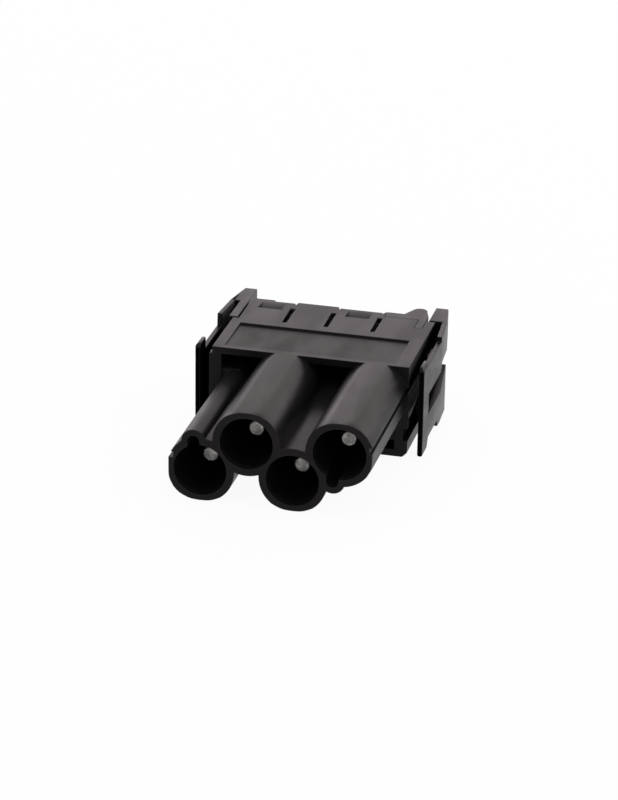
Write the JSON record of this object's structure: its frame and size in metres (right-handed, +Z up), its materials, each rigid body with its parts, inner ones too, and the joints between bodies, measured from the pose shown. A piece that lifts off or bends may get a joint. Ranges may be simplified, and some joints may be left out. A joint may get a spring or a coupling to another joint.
{
  "type": "power connector insert",
  "caption": "Rectangular power connector insert with staggered shroud tubes around pin contacts, sprung side latches and a sliding rear lock, for joining cables in solar or battery equipment.",
  "frame": {"origin": "under the middle of the whole insert, at the level of its lower wide face", "axes": "+Y runs from the tube mouths to the cable entries, +Z is up through the wide faces, +X goes to the side with the rear lock"},
  "size_m": [0.0354, 0.0472, 0.0146],
  "materials": {
    "shell_plastic": "fine moulded texture, charcoal black",
    "carrier_plastic": "fine moulded texture, charcoal black",
    "latch_plastic": "fine moulded texture, charcoal black",
    "lock_plastic": "fine moulded texture, charcoal black",
    "contact_silver": "turned copper alloy with satin silver plating",
    "clip_steel": "rolled spring strip"
  },
  "bodies": {
    "housing": {"front_shell": "shell_plastic", "rear_carrier": "carrier_plastic", "latch_base_left": "latch_plastic", "latch_base_right": "latch_plastic", "contact_pin_1": "contact_silver", "contact_pin_2": "contact_silver", "contact_pin_3": "contact_silver", "contact_pin_4": "contact_silver", "retaining_clip_1": "clip_steel", "retaining_clip_2": "clip_steel", "retaining_clip_3": "clip_steel", "retaining_clip_4": "clip_steel"},
    "left_latch": {"latch_arm_left": "latch_plastic"},
    "right_latch": {"latch_arm_right": "latch_plastic"},
    "lock": {"rear_lock": "lock_plastic"}
  },
  "joints": [
    {"name": "left_latch_flex", "type": "hinge", "parent": "housing", "child": "left_latch", "pos_m": [-0.01685, 0.01805, 0.0073], "axis": [0, 0, 1], "range_deg": [0, 2.6], "stiffness_Nm_per_rad": 0.6},
    {"name": "right_latch_flex", "type": "hinge", "parent": "housing", "child": "right_latch", "pos_m": [0.01685, 0.01805, 0.0073], "axis": [0, 0, -1], "range_deg": [0, 2.6], "stiffness_Nm_per_rad": 0.6},
    {"name": "rear_lock_slide", "type": "slide", "parent": "housing", "child": "lock", "axis": [0, 1, 0], "range_m": [0, 0.003]}
  ]
}
